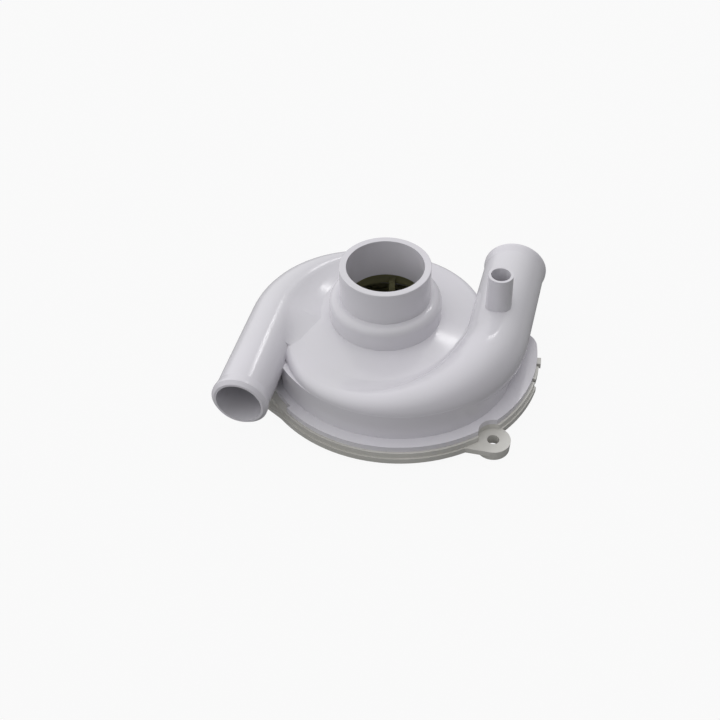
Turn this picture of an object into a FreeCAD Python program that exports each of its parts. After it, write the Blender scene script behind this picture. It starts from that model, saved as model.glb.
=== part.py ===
import FreeCAD, Part
import math
import os

# Double-volute pump casing with its rear cover. Millimetres, +Z up the inlet axis.
# The origin is on the inlet axis, in the plane that the cover's hub and lugs stand on.
# The right outlet flows towards +Y, and the left outlet flows towards -Y.

V = FreeCAD.Vector

# Heights, from the standing plane upwards
hub_drop = 3.5
cover_t = 4.0
rim_t = 4.0
flange_t = 4.0
outlet_rise = 19.5
plate_rise = 27.7
shoulder_h = 16.6
spigot_h = 23.7

# Inlet, shoulder and front plate
inlet_r = 30.0
inlet_bore_r = 25.6
inlet_chamfer = 0.3
roof_t = 4.8
shoulder_r = 37.2
shoulder_round = 5.5
eye_rib_w = 4.2
eye_rib_in = 28.6
eye_rib_top = 45.5
eye_rib_foot = 38.0
eye_rib_angle = 95.0
plate_fall = 2.2
chamber_inset = 18.4
chamber_round = 6.5
wall = 2.8

# Lower scroll, which feeds the right outlet
lower_x = 9.2
lower_y = 0.0
lower_r = 86.4
lower_start = 200.0
lower_mouth = 217.0
lower_grow_from = 240.0
lower_grow_to = 345.0
lower_first_r = 6.3
lower_first_toe = 5.0
lower_last_toe = 23.5
foot_drop = 0.1
lower_wall_turn = 305.0
lower_wall_end = 370.0
lower_wall_r = 71.0
lower_side_x = -55.8
ledge = 4.4
ledge_from = 216.0
ledge_to = 242.0
ledge_min = 0.12

# Upper scroll, which feeds the left outlet
upper_x = -6.5
upper_y = -14.0
upper_r = 83.32
upper_start = 64.0
upper_tuck = 2.0
upper_tuck_to = 95.0
upper_first_r = 5.9
upper_first_foot = 12.0
upper_last_foot = 34.0
upper_first_drop = 2.7
upper_last_drop = 1.0
upper_toe = 10.0
upper_wall_turn = 150.0
upper_wall_end = 215.0
upper_wall_r = 52.0
blend_end = -43.5
blend_last_foot = 21.0

# Outlets
right_r = 20.8
right_end = 78.0
left_r = 17.7
left_end = 96.0
outlet_step = -0.7
outlet_step_from = 312.0
bead_r = 0.9
bead_l = 9.0
bead_crown = 4.0
mouth_round = 2.2

# Port on the right outlet
port_r = 8.2
port_foot_r = 8.9
port_bore_r = 6.4
port_top = 80.5
port_y = 12.0
port_side = 2.0

# Flange, cover and lugs
flange_w = 7.6
rim_step = 1.6
cover_step = 1.1
flange_clip = 25.4
clip_round = 15.0
upper_clip = 24.0
notch_depth = 3.0
notch_start = 200.0
notch_stop = 232.5
end_depth = 3.6
end_start = 354.0
end_stop = 400.0
catch_root = 4.0
catch_start = 355.6
catch_stop = 363.2
latch_out = 1.2
latch_start = 364.8
latch_stop = 368.4
past_edge = 20.0
lug_r = 11.2
lug_hole_r = 3.9
lug_taper = 0.5
scallop_r = 9.8
right_lug_x = 86.0
right_lug_y = -63.5
right_web_angle = 308.3
left_lug_x = -79.3
left_lug_y = -46.0
left_web_angle = 236.2

# Cover hub and seal
rim_w = 12.0
hub_r = 34.0
seat_r = 21.0
seat_depth = 4.5
shaft_bore_r = 15.0
seal_w = 3.0
seal_t = 2.4
seal_inset = 4.8

# How far joined shapes run into each other, and cutters past the faces that they cut
lap = 1.0
tiny = 0.01

# Worked-out sizes
cover_z = hub_drop
rim_z = cover_z + cover_t
flange_z = rim_z + rim_t
flange_top = flange_z + flange_t
axis_z = flange_top + outlet_rise
plate_z = flange_top + plate_rise
shoulder_z = plate_z + shoulder_h
inlet_top = shoulder_z + spigot_h
chamber_r = lower_r - chamber_inset
plate_slope = plate_fall / (chamber_r - chamber_round - shoulder_r)
upper_first_rise = plate_z - upper_first_drop - axis_z
upper_last_rise = plate_z - upper_last_drop - axis_z
rim_grow = flange_w + rim_step
rim_r = lower_r + rim_grow
right_x = lower_x + lower_r - outlet_step - right_r
left_x = upper_x - upper_r + ledge_min + left_r


def polar(x, y, radius, degrees, z=0.0):
    a = math.radians(degrees)
    return V(x + radius * math.cos(a), y + radius * math.sin(a), z)


def disc(radius, z, height, x=0.0, y=0.0):
    return Part.makeCylinder(radius, height, V(x, y, z))


def fuse(first, *others):
    body = first
    for other in others:
        body = body.fuse(other)
    return body


def revolve(points):
    """A solid turned about Z from its radius and height pairs."""
    corners = [V(r, 0, z) for r, z in points]
    face = Part.Face(Part.makePolygon(corners + corners[:1]))
    return face.revolve(V(0, 0, 0), V(0, 0, 1), 360)


def ease(value, start, stop):
    """Goes smoothly from 0 at start to 1 at stop."""
    t = min(1.0, max(0.0, (value - start) / (stop - start)))
    return t * t * (3 - 2 * t)


def section(centre, inward, r, foot, rise, toe):
    """Scroll section: a circle whose inner flank runs out hollow to a foot, at the slope toe."""
    lean = math.radians(toe)
    hollow_r = (foot ** 2 + rise ** 2 - r ** 2) / (2 * (r - foot * math.sin(lean) - rise * math.cos(lean)))
    hollow_across = foot + hollow_r * math.sin(lean)
    hollow_up = rise + hollow_r * math.cos(lean)
    tilt = math.atan2(hollow_across, hollow_up)

    def at(across, up):
        return centre + inward * across + V(0, 0, up)

    def on_hollow(angle):
        return at(hollow_across - hollow_r * math.sin(angle), hollow_up - hollow_r * math.cos(angle))

    crest = on_hollow(tilt)
    edges = [
        Part.Arc(crest, at(-r, 0), at(r, 0)).toShape(),
        Part.LineSegment(at(r, 0), at(foot, 0)).toShape(),
        Part.LineSegment(at(foot, 0), at(foot, rise)).toShape(),
        Part.Arc(at(foot, rise), on_hollow((lean + tilt) / 2), crest).toShape(),
    ]
    return Part.Wire(edges)


def lower_tube(start, grow):
    """Scroll passage that grows from the ledge to the right outlet, tangent to the conical plate."""
    sections = []
    count = 14
    toe = -math.degrees(math.atan(plate_slope))
    for i in range(count + 1):
        angle = start + (360.0 - start) * i / count
        growth = ease(angle, lower_grow_from, lower_grow_to)
        r = lower_first_r + (right_r - lower_first_r) * growth
        step = ledge + (ledge_min - ledge) * ease(angle, ledge_from, ledge_to)
        step += (outlet_step - ledge_min) * ease(angle, outlet_step_from, 360.0)
        centre_r = lower_r - step - r
        toe_r = chamber_r - lower_first_toe - (lower_last_toe - lower_first_toe) * growth
        centre = polar(lower_x, lower_y, centre_r, angle, axis_z)
        inward = polar(0, 0, -1, angle)
        toe_place = polar(lower_x, lower_y, toe_r, angle)
        plate_here = plate_z - plate_slope * (math.hypot(toe_place.x, toe_place.y) - shoulder_r)
        rise = plate_here - foot_drop - axis_z
        sections.append(section(centre, inward, r + grow, centre_r - toe_r, rise + grow, toe))
    return Part.makeLoft(sections, True, False)


def upper_tube(grow):
    """Scroll passage that grows from the chamber's rim to the left outlet."""
    sections = []
    count = 10
    for i in range(count + 1):
        along = i / count
        angle = upper_start + (180.0 - upper_start) * along
        r = upper_first_r + (left_r - upper_first_r) * ease(angle, upper_start, 180.0)
        foot = upper_first_foot + (upper_last_foot - upper_first_foot) * along
        rise = upper_first_rise + (upper_last_rise - upper_first_rise) * along
        tuck = upper_tuck * (1 - ease(angle, upper_start, upper_tuck_to))
        centre = polar(upper_x, upper_y, upper_r - ledge_min - tuck - r, angle, axis_z)
        inward = polar(0, 0, -1, angle)
        sections.append(section(centre, inward, r + grow, foot, rise + grow, upper_toe * along))
    return Part.makeLoft(sections, True, False)


def outlet_blend():
    """Hollow flank that carries on from the upper scroll along the left outlet."""
    sections = []
    count = 3
    for i in range(count + 1):
        along = i / count
        centre = V(left_x, upper_y + (blend_end - upper_y) * along, axis_z)
        foot = upper_last_foot + (blend_last_foot - upper_last_foot) * along
        rise = upper_last_rise + (upper_first_rise - upper_last_rise) * along
        sections.append(section(centre, V(1, 0, 0), left_r, foot, rise, upper_toe))
    return Part.makeLoft(sections, True, False)


def wall_block(edges, z, top):
    return Part.Face(Part.Wire(edges)).extrude(V(0, 0, top - z))


def wall_arcs(x, y, outer, start, turn, inner_r, stop, z):
    """Plan of an upright scroll wall: an arc, then a tighter arc that tucks in."""
    near = polar(x, y, outer - inner_r, turn)
    p0 = polar(x, y, outer, start, z)
    p1 = polar(x, y, outer, (start + turn) / 2, z)
    p2 = polar(x, y, outer, turn, z)
    p3 = polar(near.x, near.y, inner_r, (turn + stop) / 2, z)
    p4 = polar(near.x, near.y, inner_r, stop, z)
    arcs = [Part.Arc(p0, p1, p2).toShape(), Part.Arc(p2, p3, p4).toShape()]
    return p0, p4, arcs


def lower_base(grow, z, top):
    side = lower_side_x - grow
    r = lower_r + grow
    start = 180 + math.degrees(math.acos((lower_x - side) / r))
    first, last, edges = wall_arcs(lower_x, lower_y, r, start, lower_wall_turn, lower_wall_r + grow,
                                   lower_wall_end, z)
    corner = V(side, upper_y, z)
    hub = V(0, 0, z)
    for a, b in ((last, hub), (hub, corner), (corner, first)):
        edges.append(Part.LineSegment(a, b).toShape())
    return wall_block(edges, z, top)


def upper_base(grow, z, top):
    first, last, edges = wall_arcs(upper_x, upper_y, upper_r + grow, upper_start, upper_wall_turn,
                                   upper_wall_r + grow, upper_wall_end, z)
    hub = V(0, 0, z)
    for a, b in ((last, hub), (hub, first)):
        edges.append(Part.LineSegment(a, b).toShape())
    return wall_block(edges, z, top)


def chamber(grow, z):
    """Impeller chamber under the conical front plate, with a rounded rim."""
    r = chamber_r + grow
    top = plate_z + grow
    rim = top - plate_fall
    turn = chamber_round + grow
    corner = turn * (1 - math.sqrt(0.5))
    start = V(0, 0, z)
    side = V(r, 0, z)
    low = V(r, 0, rim - turn)
    mid = V(r - corner, 0, rim - corner)
    high = V(r - turn, 0, rim)
    foot = V(shoulder_r, 0, top)
    centre = V(0, 0, top)
    edges = [
        Part.LineSegment(start, side).toShape(),
        Part.LineSegment(side, low).toShape(),
        Part.Arc(low, mid, high).toShape(),
        Part.LineSegment(high, foot).toShape(),
        Part.LineSegment(foot, centre).toShape(),
        Part.LineSegment(centre, start).toShape(),
    ]
    return Part.Face(Part.Wire(edges)).revolve(V(0, 0, 0), V(0, 0, 1), 360)


def shoulder():
    body = disc(shoulder_r, plate_z - wall, shoulder_h + wall)
    edges = [e for e in body.Edges if e.BoundBox.ZMin > shoulder_z - tiny]
    return body.makeFillet(shoulder_round, edges)


def spigot():
    body = disc(inlet_r, shoulder_z - lap, spigot_h + lap)
    edges = [e for e in body.Edges if e.BoundBox.ZMin > inlet_top - tiny]
    return body.makeChamfer(inlet_chamfer, edges)


def outlet(x, radius, start, length, sign):
    """Outlet pipe from the scroll's end to its beaded mouth, along +Y or -Y."""
    r = radius
    b = radius + bead_r
    points = [
        (0, start), (r, start), (r, length - bead_l), (b, length - bead_crown),
        (b, length - mouth_round), (b - mouth_round, length), (0, length),
    ]
    body = revolve(points)
    body.rotate(V(0, 0, 0), V(1, 0, 0), -90 * sign)
    body.translate(V(x, 0, axis_z))
    return body


def outlet_bore(x, radius, start, length, sign):
    return Part.makeCylinder(radius - wall, length - start + lap, V(x, start * sign, axis_z), V(0, sign, 0))


def port():
    x = right_x - port_side
    h = port_top - axis_z
    return Part.makeCone(port_foot_r, port_r, h, V(x, port_y, axis_z))


def port_bore():
    return disc(port_bore_r, axis_z, port_top - axis_z + lap, right_x - port_side, port_y)


def clipped_disc(x, y, r, side, clip, z, height):
    """Disc cut off at the line y = clip, with the cut's corner on the given side rounded."""
    size = 4 * r
    low = clip - size if side > 0 else clip
    body = disc(r, z, height, x, y).common(Part.makeBox(size, size, height, V(x - size / 2, low, z)))
    corner = []
    for edge in body.Edges:
        box = edge.BoundBox
        upright = box.ZLength > height - tiny
        if upright and (box.Center.x - x) * side > 0 and abs(box.Center.y - clip) < tiny:
            corner.append(edge)
    return body.makeFillet(clip_round, corner)


def outline(grow, z, height):
    """Plan of the flange: two discs, each clipped where its outlet leaves."""
    return fuse(
        clipped_disc(lower_x, lower_y, lower_r + grow, 1, flange_clip + grow, z, height),
        clipped_disc(upper_x, upper_y, upper_r + grow, -1, -upper_clip - grow, z, height),
    )


def sector(inner, outer, start, stop, z, height):
    """Piece of a flat ring about the lower scroll's centre, between two angles."""
    def at(radius, angle):
        return polar(lower_x, lower_y, radius, angle, z)

    mid = (start + stop) / 2
    edges = [
        Part.Arc(at(outer, start), at(outer, mid), at(outer, stop)).toShape(),
        Part.LineSegment(at(outer, stop), at(inner, stop)).toShape(),
        Part.Arc(at(inner, stop), at(inner, mid), at(inner, start)).toShape(),
        Part.LineSegment(at(inner, start), at(outer, start)).toShape(),
    ]
    return Part.Face(Part.Wire(edges)).extrude(V(0, 0, height))


def lug_places():
    return [(right_lug_x, right_lug_y), (left_lug_x, left_lug_y)]


def lug(x, y, web_angle, side):
    """Round lug with a web that runs back to the cover's edge on the given side."""
    edge = polar(lower_x, lower_y, rim_r, web_angle, cover_z)
    centre = V(x, y, cover_z)
    away = edge - centre
    turn = math.degrees(math.atan2(away.y, away.x)) + side * math.degrees(math.acos(lug_r / away.Length))
    touch = polar(x, y, lug_r, turn, cover_z)
    inside = V(0, 0, cover_z)
    web = Part.Face(Part.makePolygon([edge, touch, centre, inside, edge])).extrude(V(0, 0, cover_t))
    return fuse(Part.makeCone(lug_r - lug_taper, lug_r, rim_z, V(x, y, 0)), web)


def passage(grow, z, base_top, start):
    """Chamber and both scrolls, shrunk by the wall for the inside."""
    return fuse(
        chamber(grow, z), lower_base(grow, z, base_top), upper_base(grow, z, base_top),
        lower_tube(start, grow), upper_tube(grow),
    )


def volute_casing():
    skin = fuse(
        passage(0.0, flange_z, axis_z, lower_start), outlet_blend(), shoulder(), spigot(), port(),
        outlet(right_x, right_r, lower_y, right_end, 1), outlet(left_x, left_r, -blend_end, left_end, -1),
        outline(flange_w, flange_z, flange_t),
    )
    hollow = passage(-wall, flange_z - lap, axis_z - wall, lower_mouth)
    eye_z = plate_z - 2 * wall
    eye = disc(shoulder_r - wall, eye_z, shoulder_z - roof_t - eye_z)
    hollow = fuse(
        hollow, eye, disc(inlet_bore_r, eye_z, inlet_top - eye_z + lap), port_bore(),
        outlet_bore(right_x, right_r, lower_y, right_end, 1),
        outlet_bore(left_x, left_r, -upper_y, left_end, -1),
    )
    body = fuse(skin.cut(hollow), eye_rib())
    for x, y in lug_places():
        body = body.cut(disc(scallop_r, flange_z - lap, flange_t + 2 * lap, x, y))
    edge_r = lower_r + flange_w
    notch = sector(edge_r - notch_depth, edge_r + past_edge, notch_start, notch_stop, flange_z - lap,
                   flange_t + 2 * lap)
    return body.cut(notch)


def eye_rib():
    """Short upright rib on the wall of the eye, under the inlet."""
    reach = shoulder_r - wall + lap - eye_rib_in
    corner = V(eye_rib_in, -eye_rib_w / 2, eye_rib_foot)
    rib = Part.makeBox(reach, eye_rib_w, eye_rib_top - eye_rib_foot, corner)
    rib.rotate(V(0, 0, 0), V(0, 0, 1), eye_rib_angle)
    return rib


def cover_end(body):
    """Cuts the cover's edge back beside the right outlet, and leaves its two catches there."""
    cut_r = rim_r - end_depth
    root_r = cut_r - catch_root
    height = flange_z - cover_z + lap
    body = body.cut(sector(cut_r, rim_r + past_edge, end_start, end_stop, cover_z - lap, height))
    return fuse(
        body, sector(root_r, rim_r, catch_start, catch_stop, rim_z, rim_t),
        sector(root_r, rim_r + latch_out, latch_start, latch_stop, rim_z, rim_t),
    )


def rear_cover():
    plate = outline(rim_grow + cover_step, cover_z, cover_t)
    rim = outline(rim_grow, rim_z, rim_t).cut(outline(rim_grow - rim_w, rim_z, rim_t))
    for x, y in lug_places():
        rim = rim.cut(disc(scallop_r, rim_z - lap, rim_t + 2 * lap, x, y))
    body = fuse(
        cover_end(fuse(plate, rim)), disc(hub_r, 0, cover_z + lap),
        lug(right_lug_x, right_lug_y, right_web_angle, 1), lug(left_lug_x, left_lug_y, left_web_angle, -1),
    )
    for x, y in lug_places():
        body = body.cut(disc(lug_hole_r, -lap, rim_z + 2 * lap, x, y))
    body = body.cut(disc(shaft_bore_r, -lap, rim_z + 2 * lap))
    body = body.cut(disc(seat_r, rim_z - seat_depth, seat_depth + lap))
    return body.cut(seal_ring())


def seal_ring():
    z = flange_z - seal_t
    outer = outline(flange_w - seal_inset, z, seal_t)
    return outer.cut(outline(flange_w - seal_inset - seal_w, z, seal_t))


def main():
    os.makedirs("parts", exist_ok=True)
    nodes = {"volute_casing": volute_casing(), "rear_cover": rear_cover(), "seal_ring": seal_ring()}
    for name, shape in nodes.items():
        print(name, "solids", len(shape.Solids), "valid", shape.isValid(), "mm3", round(shape.Volume))
        shape.exportStep("parts/" + name + ".step")


main()
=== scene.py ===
import math

import bpy
from mathutils import Matrix, Vector

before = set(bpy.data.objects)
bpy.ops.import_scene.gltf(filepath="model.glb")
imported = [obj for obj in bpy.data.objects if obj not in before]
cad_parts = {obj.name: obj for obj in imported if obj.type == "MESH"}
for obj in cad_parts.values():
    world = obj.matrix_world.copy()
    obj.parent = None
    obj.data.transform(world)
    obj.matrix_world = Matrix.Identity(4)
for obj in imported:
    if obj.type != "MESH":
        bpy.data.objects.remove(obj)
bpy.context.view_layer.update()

# Double-volute pump casing, in metres, +Z up the inlet axis.
# The solids carry every form; this script gives them their plastic, the floor, the light and the camera.

# Camera: place, direction in degrees, and lens
CAMERA_PLACE = (0.1429, -0.5821, 0.5770)
CAMERA_TURN = 15.5
CAMERA_PITCH = 43.93
CAMERA_ROLL = -1.43
LENS_MM = 60.0
SENSOR_MM = 36.0
CLIP_START = 0.01

# Colours, as linear values
WHITE_COOL = (0.67, 0.655, 0.70, 1)
WHITE_COOL_DEEP = (0.65, 0.64, 0.675, 1)
COVER_LIGHT = (0.60, 0.59, 0.56, 1)
COVER_DARK = (0.50, 0.49, 0.46, 1)
# Painted shade: olive-grey in place of the shadow in the hollow inside
OLIVE_PAINTED_SHADE = (0.30, 0.29, 0.16, 1)
RUBBER_DARK = (0.03, 0.03, 0.03, 1)
RUBBER_LIGHT = (0.05, 0.05, 0.05, 1)
FLOOR = (0.30, 0.30, 0.30, 1)
WHITE = (1, 1, 1, 1)

# Plastic: patches of tone, patches of gloss, and the ripple of a moulded face
CASING_ROUGHNESS = 0.14
COVER_ROUGHNESS = 0.22
PLASTIC_IOR = 1.5
TONE_SCALE = 14.0
TONE_BAND = (0.35, 0.65)
GLOSS_SCALE = 60.0
GLOSS_BAND = (0.3, 0.7)
GLOSS_SHARES = (0.85, 1.15)
RIPPLE_SCALE = 45.0
RIPPLE_DETAIL = 2.0
RIPPLE_STRENGTH = 0.12
RIPPLE_DEPTH = 0.0004

# Painted shade: olive-grey stands in for the shade in the hollow inside, filling what lies below this
# height and within this radius
CASING_PAINTED_SHADE_ZONE = (0.0552, 0.0350)
COVER_PAINTED_SHADE_ZONE = (0.0120, 0.0800)
PAINTED_SHADE_FADE_UP = 0.0008
PAINTED_SHADE_FADE_OUT = 0.0006

# Rubber
RUBBER_SCALE = 200.0
RUBBER_BAND = (0.3, 0.7)
RUBBER_ROUGHNESS = 0.6

# Floor
FLOOR_SIZE = 6.0
FLOOR_SHOW = 0.93
FLOOR_ROUGHNESS = 0.9

# Sky: how bright it is along its direction and away from it
SKY_TOWARDS = (-0.50, 0.10, 0.86)
SKY_BAND = (-0.3, 0.8)
SKY_BRIGHT = 1.15
SKY_DIM = 0.08

# Strip lamp, which leaves the narrow highlights
LAMP_AIM = (0, 0, 0.04)
STRIP_TOWARDS = (0.12, 0.66, 0.74)
STRIP_DISTANCE = 1.5
STRIP_SIZE = (0.36, 0.05)
STRIP_POWER = 0.8


def new_material(name):
    """A node material, its nodes and its links."""
    material = bpy.data.materials.new(name)
    material.use_nodes = True
    return material, material.node_tree.nodes, material.node_tree.links


def place_socket(nodes, links, axis):
    """One coordinate of the surface's place in the object's frame."""
    place = nodes.new("ShaderNodeTexCoord")
    split = nodes.new("ShaderNodeSeparateXYZ")
    links.new(place.outputs["Object"], split.inputs[0])
    return split.outputs[axis]


def noise(nodes, links, scale, detail=3.0):
    """Soft noise fixed to the object."""
    place = nodes.new("ShaderNodeTexCoord")
    texture = nodes.new("ShaderNodeTexNoise")
    texture.inputs["Scale"].default_value = scale
    texture.inputs["Detail"].default_value = detail
    links.new(place.outputs["Object"], texture.inputs["Vector"])
    return texture.outputs["Fac"]


def mix_colour(nodes, links, factor, first, second):
    """Blend of two colours, each a value or a socket."""
    mix = nodes.new("ShaderNodeMix")
    mix.data_type = "RGBA"
    links.new(factor, mix.inputs["Factor"])
    for socket, colour in (("A", first), ("B", second)):
        target = [s for s in mix.inputs if s.name == socket and s.type == "RGBA"][0]
        if isinstance(colour, tuple):
            target.default_value = colour
        else:
            links.new(colour, target)
    return [s for s in mix.outputs if s.type == "RGBA"][0]


def remap(nodes, links, value, low, high, to_low=0.0, to_high=1.0):
    """The value eased from one range to another."""
    node = nodes.new("ShaderNodeMapRange")
    node.interpolation_type = "SMOOTHSTEP"
    node.inputs["From Min"].default_value = low
    node.inputs["From Max"].default_value = high
    node.inputs["To Min"].default_value = to_low
    node.inputs["To Max"].default_value = to_high
    links.new(value, node.inputs["Value"])
    return node.outputs["Result"]


def math_node(nodes, links, operation, first, second):
    """Result of one operation on two inputs, each a number or a socket."""
    node = nodes.new("ShaderNodeMath")
    node.operation = operation
    for index, value in ((0, first), (1, second)):
        if isinstance(value, (int, float)):
            node.inputs[index].default_value = value
        else:
            links.new(value, node.inputs[index])
    return node.outputs[0]


def axis_distance(nodes, links):
    """Distance of the surface from the inlet axis."""
    place = nodes.new("ShaderNodeTexCoord")
    flat = nodes.new("ShaderNodeVectorMath")
    flat.operation = "MULTIPLY"
    flat.inputs[1].default_value = (1, 1, 0)
    length = nodes.new("ShaderNodeVectorMath")
    length.operation = "LENGTH"
    links.new(place.outputs["Object"], flat.inputs[0])
    links.new(flat.outputs["Vector"], length.inputs[0])
    return length.outputs["Value"]


def painted_shade_share(nodes, links, top, radius):
    """Share of painted shade: 1 where the surface lies below the top and within the radius, fading to 0
    past them.
    """
    height = place_socket(nodes, links, "Z")
    below = remap(nodes, links, height, top - PAINTED_SHADE_FADE_UP, top, 1.0, 0.0)
    reach = axis_distance(nodes, links)
    within = remap(nodes, links, reach, radius, radius + PAINTED_SHADE_FADE_OUT, 1.0, 0.0)
    return math_node(nodes, links, "MULTIPLY", below, within)


def ripple(nodes, links):
    """Normal with the faint ripple of a moulded face."""
    bump = nodes.new("ShaderNodeBump")
    bump.inputs["Strength"].default_value = RIPPLE_STRENGTH
    bump.inputs["Distance"].default_value = RIPPLE_DEPTH
    links.new(noise(nodes, links, RIPPLE_SCALE, RIPPLE_DETAIL), bump.inputs["Height"])
    return bump.outputs["Normal"]


def plastic(name, light, dark, roughness, shade_top, shade_radius):
    """Gloss moulding plastic with a faint change of tone, and olive-grey painted shade low down near the
    inlet axis, where the hollow inside lies.
    """
    material, nodes, links = new_material(name)
    shader = nodes["Principled BSDF"]
    tone = remap(nodes, links, noise(nodes, links, TONE_SCALE), *TONE_BAND)
    body = mix_colour(nodes, links, tone, dark, light)
    # Painted shade: olive-grey laid on the hollow inside in place of its shadow
    painted_shade = painted_shade_share(nodes, links, shade_top, shade_radius)
    links.new(mix_colour(nodes, links, painted_shade, body, OLIVE_PAINTED_SHADE), shader.inputs["Base Color"])
    smoothest, roughest = (roughness * share for share in GLOSS_SHARES)
    rough = remap(nodes, links, noise(nodes, links, GLOSS_SCALE), *GLOSS_BAND, smoothest, roughest)
    links.new(rough, shader.inputs["Roughness"])
    links.new(ripple(nodes, links), shader.inputs["Normal"])
    shader.inputs["IOR"].default_value = PLASTIC_IOR
    return material


def rubber(name):
    """Matt black rubber with a faint change of tone."""
    material, nodes, links = new_material(name)
    shader = nodes["Principled BSDF"]
    tone = remap(nodes, links, noise(nodes, links, RUBBER_SCALE), *RUBBER_BAND)
    links.new(mix_colour(nodes, links, tone, RUBBER_DARK, RUBBER_LIGHT), shader.inputs["Base Color"])
    shader.inputs["Roughness"].default_value = RUBBER_ROUGHNESS
    return material


def dress(node, material):
    """Give a node of the frame its one material."""
    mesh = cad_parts[node].data
    mesh.materials.clear()
    mesh.materials.append(material)


def seen(nodes, links):
    """1 for the camera's own rays and for those through clear things, 0 for the rest."""
    path = nodes.new("ShaderNodeLightPath")
    camera_ray = path.outputs["Is Camera Ray"]
    clear_ray = path.outputs["Is Transmission Ray"]
    return math_node(nodes, links, "MAXIMUM", camera_ray, clear_ray)


def make_floor():
    """Floor that shows nearly white, with a faint shadow, and gives the part little light."""
    bpy.ops.mesh.primitive_plane_add(size=FLOOR_SIZE, location=(0, 0, 0))
    floor = bpy.context.object
    floor.name = "floor"
    material, nodes, links = new_material("floor_white")
    shader = nodes["Principled BSDF"]
    shader.inputs["Base Color"].default_value = FLOOR
    shader.inputs["Roughness"].default_value = FLOOR_ROUGHNESS
    glow = nodes.new("ShaderNodeEmission")
    glow.inputs["Color"].default_value = WHITE
    blend = nodes.new("ShaderNodeMixShader")
    share = math_node(nodes, links, "MULTIPLY", seen(nodes, links), FLOOR_SHOW)
    links.new(share, blend.inputs[0])
    links.new(shader.outputs[0], blend.inputs[1])
    links.new(glow.outputs[0], blend.inputs[2])
    links.new(blend.outputs[0], nodes["Material Output"].inputs["Surface"])
    floor.data.materials.append(material)


def sky_level(nodes, links):
    """Brightness of the sky, by how near a ray runs to the sky's direction."""
    place = nodes.new("ShaderNodeTexCoord")
    towards = nodes.new("ShaderNodeVectorMath")
    towards.operation = "DOT_PRODUCT"
    towards.inputs[1].default_value = SKY_TOWARDS
    links.new(place.outputs["Generated"], towards.inputs[0])
    return remap(nodes, links, towards.outputs["Value"], *SKY_BAND, SKY_DIM, SKY_BRIGHT)


def make_world():
    """Pale room: white where it shows, bright overhead and to the left where it lights."""
    world = bpy.data.worlds.new("room")
    bpy.context.scene.world = world
    world.use_nodes = True
    nodes, links = world.node_tree.nodes, world.node_tree.links
    room = nodes["Background"]
    room.inputs["Color"].default_value = WHITE
    links.new(sky_level(nodes, links), room.inputs["Strength"])
    shown = nodes.new("ShaderNodeBackground")
    shown.inputs["Color"].default_value = WHITE
    shown.inputs["Strength"].default_value = 1.0
    blend = nodes.new("ShaderNodeMixShader")
    links.new(seen(nodes, links), blend.inputs[0])
    links.new(room.outputs[0], blend.inputs[1])
    links.new(shown.outputs[0], blend.inputs[2])
    links.new(blend.outputs[0], nodes["World Output"].inputs["Surface"])


def make_strip():
    """Narrow area lamp that looks at the casing."""
    lamp = bpy.data.lights.new("strip", "AREA")
    lamp.shape = "RECTANGLE"
    lamp.size, lamp.size_y = STRIP_SIZE
    lamp.energy = STRIP_POWER
    holder = bpy.data.objects.new("strip", lamp)
    bpy.context.scene.collection.objects.link(holder)
    towards = Vector(STRIP_TOWARDS).normalized()
    holder.location = Vector(LAMP_AIM) + towards * STRIP_DISTANCE
    holder.rotation_euler = (-towards).to_track_quat("-Z", "Y").to_euler()


def make_camera():
    """Camera at its place, turned about Z, pitched down, then rolled about its own line of sight."""
    turn, pitch, roll = (math.radians(v) for v in (CAMERA_TURN, CAMERA_PITCH, CAMERA_ROLL))
    lens = bpy.data.cameras.new("camera")
    lens.lens = LENS_MM
    lens.sensor_width = SENSOR_MM
    lens.clip_start = CLIP_START
    camera = bpy.data.objects.new("camera", lens)
    bpy.context.scene.collection.objects.link(camera)
    aim = (
        Matrix.Rotation(turn, 4, "Z")
        @ Matrix.Rotation(math.pi / 2 - pitch, 4, "X")
        @ Matrix.Rotation(roll, 4, "Z")
    )
    camera.matrix_world = Matrix.Translation(CAMERA_PLACE) @ aim
    bpy.context.scene.camera = camera


casing_plastic = plastic("casing_white", WHITE_COOL, WHITE_COOL_DEEP, CASING_ROUGHNESS, *CASING_PAINTED_SHADE_ZONE)
cover_plastic = plastic("cover_white", COVER_LIGHT, COVER_DARK, COVER_ROUGHNESS, *COVER_PAINTED_SHADE_ZONE)

dress("volute_casing", casing_plastic)
dress("rear_cover", cover_plastic)
dress("seal_ring", rubber("seal_black"))

make_floor()
make_world()
make_strip()
make_camera()

bpy.context.scene.view_settings.view_transform = "Standard"
